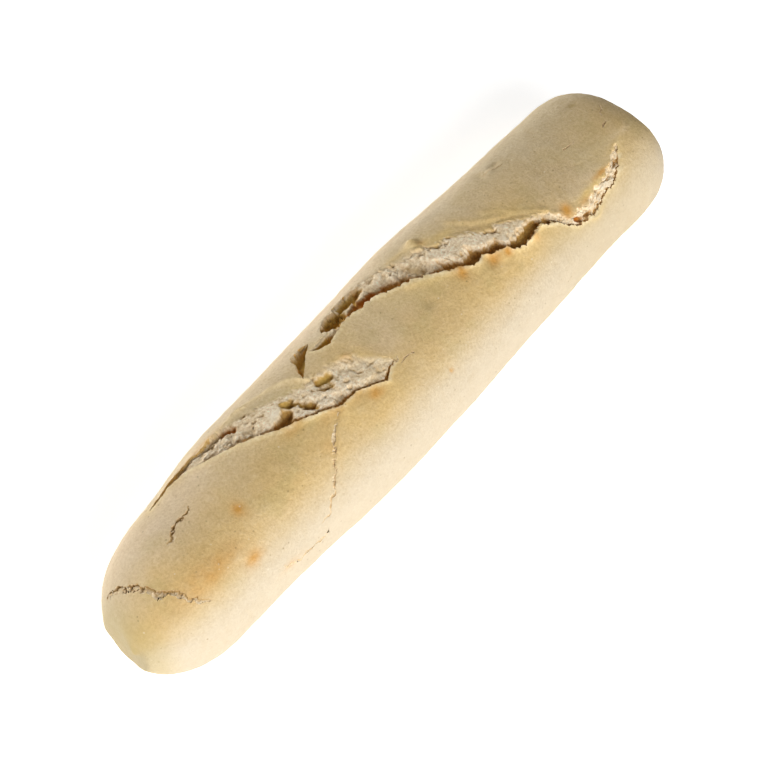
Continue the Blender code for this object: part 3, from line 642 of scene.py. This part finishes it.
def torn_edges(x, back, lip, tears):
    """The ragged turns of a slash's back edge and of its lip, which never meet."""
    back_teeth = 1.8 * torn(x, 4.0, 11) + 1.2 * torn(x, 1.2, 16)
    lip_teeth = 1.2 * torn(x, 3.0, 12) + 1.4 * torn(x, 0.9, 13)
    back_turn = reading(back, 1, x) + reading(tears, 1, x) * back_teeth
    lip_turn = reading(lip, 1, x) + reading(tears, 2, x) * lip_teeth
    return back_turn[:, None], np.maximum(lip_turn, back_turn + NARROWEST_TURN)[:, None]


def crumb_level(x, turn, inside, gap, before_lip, shape):
    """Depth of the crumb's smooth form: a trough at the back, then a hump, with its welts."""
    down = soft_step(inside, 0.35 * shape.trough, shape.trough)
    level = shape.back_depth + (shape.crumb_depth - shape.back_depth) * down
    rising = np.clip(inside / np.maximum(inside + before_lip - gap, 0.5), 0, 1)
    level = level - shape.hump * np.sin(math.pi * rising)
    for height, half_width, route in WELTS:
        level = level - height * np.exp(-np.abs(off_route(x, turn, route) / half_width) ** 2.2)
    return level


def crumb_bed(x, turn, begins, lip_turn, open_up, shape):
    """Depth and tones of the torn crumb, from the back edge down into the gap under the lip."""
    places = np.broadcast_to(x[:, None], turn.shape)
    inside = (turn - begins) * MM_PER_DEGREE - shape.margin
    before_lip = (lip_turn - turn) * MM_PER_DEGREE
    points = smooth_crust(places, turn)
    roughness = crumb_roughness(points)
    rough = shape.rough * (1 - np.clip(mounds(places, turn, SMOOTHED), 0, 1))

    gap = shape.gap_width * (1 + 0.28 * torn(x, 3.0, 14) + 0.12 * torn(x, 1.2, 15))[:, None]
    gap = np.minimum(gap, inside + before_lip - NARROWEST_CRUMB)
    level = crumb_level(places, turn, inside, gap, before_lip, shape)
    fall = 1 - soft_step(before_lip, gap * (1 - GAP_SLOPE), gap)
    sunk = np.maximum(shape.gap_depth - level, 0) * fall + burst_bubbles(places, turn)
    patchy = inside + 0.9 * grain(points, 2.5, 4, seed=17, smoothness=0.6)
    crumb_share = soft_step(patchy, -0.4 * shape.margin, 0.2 + 0.45 * shape.margin)
    skin_level = SKIN_SHAVED - crust_relief(places, turn)
    calm = (1 - 0.75 * fall) * soft_step(inside + shape.margin, 0, 0.8)
    depth = level + sunk + rough * (roughness + 0.1) * calm
    depth = skin_level + (depth - skin_level) * crumb_share
    depth = np.maximum(depth, np.where(shape.margin > 0.2, skin_level, 0.15 * open_up))

    # Painted shade grows in caves and the gap, deep in the crumb, and in under the back edge.
    behind = shape.back_reach / 1.6 * (1 - soft_step(inside, 0.3, 1.4))
    painted_shade_depth = sunk + behind + np.maximum(level - 1.6, 0)
    inner_tone = crumb_tone(places, turn, roughness, painted_shade_depth, fall, rough)
    outer_tone = crust_tone(places, turn)
    tones = outer_tone + (inner_tone - outer_tone) * crumb_share[..., None]
    crumbly = (crumb_share * np.clip(rough, 0, 1))[..., None]
    return depth, np.concatenate([tones, crumbly], axis=-1)


def hollow_under(edge_turn, reach, floor, roof, bend):
    """Turns and depths of the half-round hollow under an edge, from its floor (0) to its roof (pi)."""
    return edge_turn + reach * np.sin(bend), (floor + roof) / 2 + (floor - roof) / 2 * np.cos(bend)


def with_walls(tones, back_reach):
    """The crumb's tones, with the back edge's wall before them and the lip's wall and the cover after."""
    back_wall, lip_wall = tones[:, :1].copy(), tones[:, -1:].copy()
    # Painted shade on the back wall where the slash runs in under it, partly the inner skin's baked colour.
    back_wall[..., :3] = tinted(back_wall[..., :3], BACK_WALL, np.clip(back_reach / 0.05, 0, 0.9))
    # Painted shade on the wall under the lip.
    lip_wall[..., :3] = (np.array(CRUMB_BODY) + np.array(CAVE_BROWN_AND_SHADE)) / 2
    inner_tones = np.repeat(back_wall, BACK_POINTS, axis=1)
    outer_tones = np.repeat(lip_wall, UNDERCUT_POINTS + 1 + COVER_POINTS, axis=1)
    return np.concatenate([inner_tones, tones, outer_tones], axis=1)


def slash_cutter(name, back, lip, rows, tears):
    """The open space of a slash, over its crumb, out under its lip and in under its back edge."""
    start, end = rows[0][0], rows[-1][0]
    x = np.linspace(start, end, round((end - start) / CUT_STEP) + 1)
    open_up = soft_step(np.minimum(x - start, end - x), 0, 4)[:, None]
    shape = FloorShape(*(reading(rows, k, x)[:, None] for k in range(1, 10)))
    back_turn, lip_turn = torn_edges(x, back, lip, tears)
    begins = back_turn - shape.margin / MM_PER_DEGREE
    turn = begins + (lip_turn - begins) * np.linspace(0, 1, FLOOR_POINTS)
    depth, tones = crumb_bed(x, turn, begins, lip_turn, open_up, shape)

    bend = np.linspace(0, math.pi, UNDERCUT_POINTS + 2)[1:]
    roof = np.minimum(LIP_THICKNESS - lip_rise(x[:, None], lip_turn), shape.gap_depth * ROOF_LIMIT)
    reach = UNDERCUT_REACH * shape.gap_depth * open_up / MM_PER_DEGREE
    under_turn, under_depth = hollow_under(lip_turn, reach, depth[:, -1:], roof, bend)

    bend = np.linspace(math.pi, 0, BACK_POINTS + 1)[:-1]
    roof = np.minimum(LIP_THICKNESS - lip_rise(x[:, None], begins), depth[:, :1] - 0.02)
    reach = -shape.back_reach * open_up / MM_PER_DEGREE
    inner_turn, inner_depth = hollow_under(begins, reach, depth[:, :1], roof, bend)

    cover_turn = begins + (lip_turn - begins) * np.linspace(1, 0, COVER_POINTS)
    cover_depth = np.full_like(cover_turn, -CLEAR_OVER)
    turns = np.concatenate([inner_turn, turn, under_turn, cover_turn], axis=1)
    depths = np.concatenate([inner_depth, depth, under_depth, cover_depth], axis=1)
    rings = under_crust(np.broadcast_to(x[:, None], turns.shape), turns, depths)
    return closed_tube(name, rings, with_walls(tones, shape.back_reach))


def cut_out(body, cutter):
    """Takes the cutter's space out of the body, and removes the cutter."""
    cut = body.modifiers.new("cut", "BOOLEAN")
    cut.operation = "DIFFERENCE"
    cut.solver = "MANIFOLD"
    cut.object = cutter
    bpy.context.view_layer.update()
    evaluated = body.evaluated_get(bpy.context.evaluated_depsgraph_get())
    result = bpy.data.meshes.new_from_object(evaluated)
    body.modifiers.remove(cut)
    body.data = result
    bpy.data.objects.remove(cutter)


cut_out(loaf, slash_cutter("near_slash", NEAR_BACK, NEAR_LIP, NEAR_FLOOR, NEAR_TEARS))
cut_out(loaf, slash_cutter("far_slash", FAR_BACK, FAR_LIP, FAR_FLOOR, FAR_TEARS))
cut_out(loaf, slash_cutter("pocket", POCKET_BACK, POCKET_LIP, POCKET_FLOOR, POCKET_TEARS))

# --- The cracks ---------------------------------------------------------------------------------------
# The crust also splits where the dough pushed on after it had set: one ragged crack across the near nose, a
# short one on its shoulder, hairlines down the front, and nicks at the far end.
CRACK_STEP = 0.28
CRACK_CLEAR_OVER = 1.6
CRACKS = (  # width, depth, width of the crumbly far side, raggedness, how broken up it is, then the route
    (1.0, 1.05, 2.0, 1.0, 0.7, (
        (-136.2, -53), (-134.6, -44), (-133.5, -33), (-132.2, -23.5), (-130.7, -9), (-129.1, -1),
        (-128.4, 8.5), (-124.2, 19), (-122.4, 33.5), (-118.4, 43.5),
    )),
    (1.1, 1.0, 1.1, 1.2, 0.7, ((-113.3, -8), (-110, -8.5), (-107.8, -13), (-102.3, -12.5), (-97.3, -12.5))),
    (0.4, 0.35, 1.2, 0.8, 1.7, (
        (-35.5, 17), (-37.7, 19), (-41.2, 23), (-44.2, 28), (-50.2, 40), (-52.4, 45.5), (-57.4, 58),
        (-59.9, 62.5), (-62.9, 71.5), (-67, 71),
    )),
    (0.5, 0.4, 0.6, 1.1, 1.6, ((-87.3, 75), (-82.1, 82.5), (-75.6, 84), (-72.4, 85), (-64.4, 84))),
    (0.5, 0.5, 0.4, 0.8, 1.4, ((106.3, 1.5), (109, 2.5), (112, 2))),
    (0.5, 0.5, 0.3, 0.6, 1.0, ((124.3, 8.5), (127.9, 6.5))),
    (0.6, 0.5, 0.5, 1.2, 1.4, ((-8.5, 19.5), (-6, 17.5), (-3.5, 18.5))),
    (0.3, 0.25, 0.6, 1.4, 1.9, ((-4.5, 23.5), (-2, 22), (1.5, 23))),
    (0.4, 0.5, 0.3, 0.8, 1.2, ((88.6, -23), (84, -24.5), (79.4, -29))),
    (0.4, 0.4, 0.3, 0.8, 1.6, ((128.3, 2.5), (132.2, -2.5), (134.8, -10))),
)
CRACK_SHAPE = ((-0.5, 0), (-0.4, 0.6), (-0.1, 1.0), (0.25, 0.95))  # share of the width, share of the depth
CRACK_FLOOR, CRACK_WALL = (0.50, 0.31, 0.10), (0.92, 0.78, 0.55)


def along_route(route, step):
    """(x, turn) at even steps along a route, and the distance reached at each."""
    corners = np.array(route, float)
    runs = np.hypot(np.diff(corners[:, 0]), np.diff(corners[:, 1]) * MM_PER_DEGREE)
    reached = np.concatenate([[0], np.cumsum(runs)])
    at = np.linspace(0, reached[-1], max(round(reached[-1] / step), 3) + 1)
    return np.interp(at, reached, corners[:, 0]), np.interp(at, reached, corners[:, 1]), at


def crack_cutter(name, width, depth, far_side, ragged, broken, route):
    """A groove along a route, steep on one side and crumbling away on the other."""
    x, turn, at = along_route(route, CRACK_STEP)
    run = np.stack([at, np.full_like(at, route[0][0]), np.zeros_like(at)], -1)
    turn = turn + ragged * (2.0 * grain(run, 2.6, 3, 31) + 0.9 * grain(run, 0.8, 2, 36))
    x = x + ragged * (0.8 * grain(run, 2.2, 3, 32) + 0.4 * grain(run, 0.8, 2, 37))
    middle, up = smooth_crust(x, turn), outward(x, turn)
    side = np.cross(np.gradient(middle, axis=0), up)
    side /= np.linalg.norm(side, axis=-1, keepdims=True)
    middle = middle + up * crust_relief(x, turn)[:, None]
    fading_ends = np.sin(np.pi * (0.04 + 0.92 * at / at[-1])) ** 0.6
    taper = fading_ends * (0.9 + broken * grain(run, 2.2, 4, 33, 0.6))
    taper = np.clip(taper, -0.1, 1.4)[:, None]
    slope = far_side * np.clip(0.7 + 1.1 * grain(run, 3.0, 3, 34), 0.1, 1.5)[:, None]
    half = width * np.maximum(taper, 0.25)
    places = [(half * across, -depth * down * taper) for across, down in CRACK_SHAPE]
    crumble = 0.35 * grain(run, 0.9, 3, 35, 0.4)[:, None]
    places.append((half * 0.4 + slope * 0.4, -depth * taper * (0.55 + crumble)))
    places.append((half * 0.5 + slope * 0.8, -depth * taper * (0.3 + crumble)))
    places.append((half * 0.6 + slope * 1.4, np.full_like(taper, CRACK_CLEAR_OVER)))
    places.append((half * -0.6, np.full_like(taper, CRACK_CLEAR_OVER)))
    rings = np.stack([middle + side * across + up * rise for across, rise in places], axis=1)
    # The floor is the crack's browned colour, with painted shade that grows darker the deeper the crack.
    shares = np.array([0.3, 0.8, 1.0, 0.9, 0.35, 0.0, 0.0, 0.3]) * min(0.3 + 0.6 * depth, 1)
    walls = np.broadcast_to(np.array(CRACK_WALL), rings.shape)
    tones = tinted(walls, CRACK_FLOOR, np.broadcast_to(shares, rings.shape[:2]))
    crumbly = np.broadcast_to((1 - shares)[:, None], (*tones.shape[:2], 1))
    return closed_tube(name, rings, np.concatenate([tones, crumbly], axis=-1))


def drop_slivers(body):
    """Deletes the loose bits that the cuts leave behind, and keeps the one large shell."""
    shell = bmesh.new()
    shell.from_mesh(body.data)
    unseen = set(shell.faces)
    parts = []
    while unseen:
        part = {unseen.pop()}
        edge_of_part = set(part)
        while edge_of_part:
            touching = {other for face in edge_of_part for edge in face.edges for other in edge.link_faces}
            edge_of_part = touching - part
            part |= edge_of_part
        unseen -= part
        parts.append(part)
    parts.sort(key=len)
    bmesh.ops.delete(shell, geom=[face for part in parts[:-1] for face in part], context="FACES")
    shell.to_mesh(body.data)
    shell.free()


for number, crack in enumerate(CRACKS):
    cut_out(loaf, crack_cutter(f"crack_{number}", *crack))
drop_slivers(loaf)

# --- The loaf in its place ----------------------------------------------------------------------------
# The baked loaf is one piece, resting on its flat base. It takes the place of the plain solid of the same
# form, and is moved so that its bare form, without relief, is centred where the solid is.
SMOOTH_UP_TO = math.radians(50)
SAMPLES_ALONG, SAMPLES_ROUND, SAMPLES_END = 400, 361, 144.9
low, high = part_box("loaf")
corners = np.empty(len(loaf.data.vertices) * 3)
loaf.data.vertices.foreach_get("co", corners)
sample_x, sample_turn = np.meshgrid(
    np.linspace(-SAMPLES_END, SAMPLES_END, SAMPLES_ALONG), np.linspace(-180, 180, SAMPLES_ROUND),
    indexing="ij",
)
bare = smooth_crust(sample_x, sample_turn).reshape(-1, 3) * MM
shift = (np.array([low[0] + high[0], low[1] + high[1], 0]) - bare.min(axis=0) - bare.max(axis=0)) / 2
shift[2] = low[2]
loaf.data.vertices.foreach_set("co", (corners.reshape(-1, 3) + shift).ravel())
loaf.data.update()
loaf.data.shade_smooth()
loaf.data.set_sharp_from_angle(angle=SMOOTH_UP_TO)
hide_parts("loaf")
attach(loaf, "root")

# --- The table, the lamps and the camera --------------------------------------------------------------
# The loaf lies on a white glowing table top, between a large soft lamp in front and one behind, both low.
# It is seen through a long lens from above its near end. None of this is part of the object.
TABLE_HALF, TABLE_GLOW, ROOM_GLOW = 6.0, 0.64, 0.04
table_mesh = bpy.data.meshes.new("table")
table_corners = [(-TABLE_HALF, -TABLE_HALF, 0), (TABLE_HALF, -TABLE_HALF, 0),
                 (TABLE_HALF, TABLE_HALF, 0), (-TABLE_HALF, TABLE_HALF, 0)]
table_mesh.from_pydata(table_corners, [], [(0, 1, 2, 3)])
table = bpy.data.objects.new("table", table_mesh)
bpy.context.scene.collection.objects.link(table)
table_finish = bpy.data.materials.new("white_table")
table_finish.use_nodes = True
top = table_finish.node_tree.nodes["Principled BSDF"]
top.inputs["Base Color"].default_value = (0.9, 0.9, 0.9, 1)
top.inputs["Roughness"].default_value = 0.9
top.inputs["Emission Color"].default_value = (1, 1, 1, 1)
top.inputs["Emission Strength"].default_value = TABLE_GLOW
table_mesh.materials.append(table_finish)

world = bpy.data.worlds.new("studio")
bpy.context.scene.world = world
world.use_nodes = True
world.node_tree.nodes["Background"].inputs["Color"].default_value = (1.0, 1.0, 1.0, 1)
world.node_tree.nodes["Background"].inputs["Strength"].default_value = ROOM_GLOW


def softbox(name, place, size, watts):
    """A square soft lamp aimed at the loaf."""
    data = bpy.data.lights.new(name, "AREA")
    data.shape = "SQUARE"
    data.size = size
    data.energy = watts
    lamp = bpy.data.objects.new(name, data)
    lamp.location = place
    lamp.rotation_euler = (-Vector(place)).to_track_quat("-Z", "Y").to_euler()
    bpy.context.scene.collection.objects.link(lamp)


softbox("front_softbox", (-0.55, -1.4, 0.85), 1.1, 30.5)
softbox("back_softbox", (-0.25, 1.6, 0.45), 1.0, 26)

TARGET = Vector((-3.1, -4.0, 22.0)) * MM + Vector(shift)
DISTANCE, AZIMUTH, ELEVATION = 1.400, math.radians(-51.75), math.radians(55)
toward_camera = Vector((
    math.sin(AZIMUTH) * math.cos(ELEVATION), -math.cos(AZIMUTH) * math.cos(ELEVATION), math.sin(ELEVATION)
))
lens = bpy.data.cameras.new("camera")
lens.lens = 183.75
lens.sensor_width = 36
camera = bpy.data.objects.new("camera", lens)
camera.location = TARGET + toward_camera * DISTANCE
camera.rotation_euler = (-toward_camera).to_track_quat("-Z", "Y").to_euler()
bpy.context.scene.collection.objects.link(camera)
bpy.context.scene.camera = camera
bpy.context.scene.view_settings.view_transform = "Standard"
